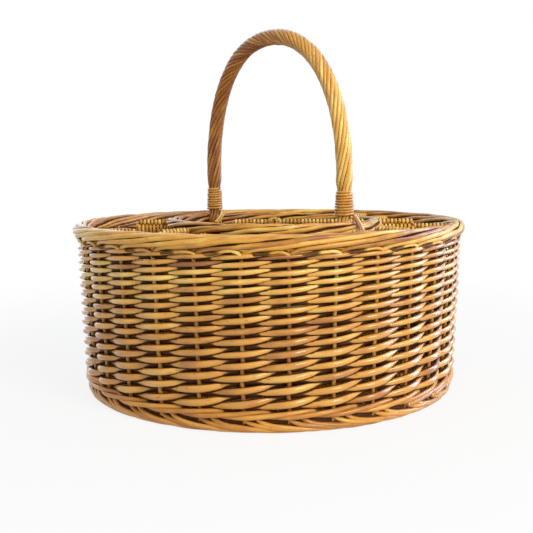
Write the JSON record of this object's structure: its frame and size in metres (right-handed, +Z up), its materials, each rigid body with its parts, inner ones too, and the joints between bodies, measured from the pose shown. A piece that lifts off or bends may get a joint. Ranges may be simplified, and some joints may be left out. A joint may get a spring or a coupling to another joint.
{
  "type": "wicker drinks basket",
  "caption": "Round wicker drinks basket with a fixed roped bow handle, an inner ring parted into bottle cells and outer cells for drinking vessels.",
  "frame": {"origin": "middle of the foot on the floor", "axes": "+Z up; the bow handle stands in the XZ plane, with one leg towards +X and the other towards -X"},
  "size_m": [0.4992, 0.4992, 0.451],
  "materials": {
    "border_willow": "satin varnished willow rods",
    "wall_willow": "satin varnished willow rods",
    "base_willow": "satin varnished willow rods",
    "divider_willow": "satin varnished willow rods",
    "handle_willow": "satin varnished willow rods",
    "binding_willow": "satin varnished willow rod"
  },
  "bodies": {
    "root": {"foot_border": "base_willow", "base_panel": "base_willow", "base_wale": "base_willow", "side_wall": "wall_willow", "rim_border": "border_willow", "inner_wall": "wall_willow", "inner_border": "border_willow", "ring_divider_1": "divider_willow", "ring_divider_2": "divider_willow", "ring_divider_3": "divider_willow", "ring_divider_4": "divider_willow", "ring_divider_5": "divider_willow", "ring_divider_6": "divider_willow", "ring_divider_7": "divider_willow", "ring_divider_8": "divider_willow", "bottle_divider_long": "divider_willow", "bottle_divider_short_1": "divider_willow", "bottle_divider_short_2": "divider_willow", "handle_bow": "handle_willow", "leg_binding_right": "binding_willow", "leg_binding_left": "binding_willow"}
  },
  "joints": []
}
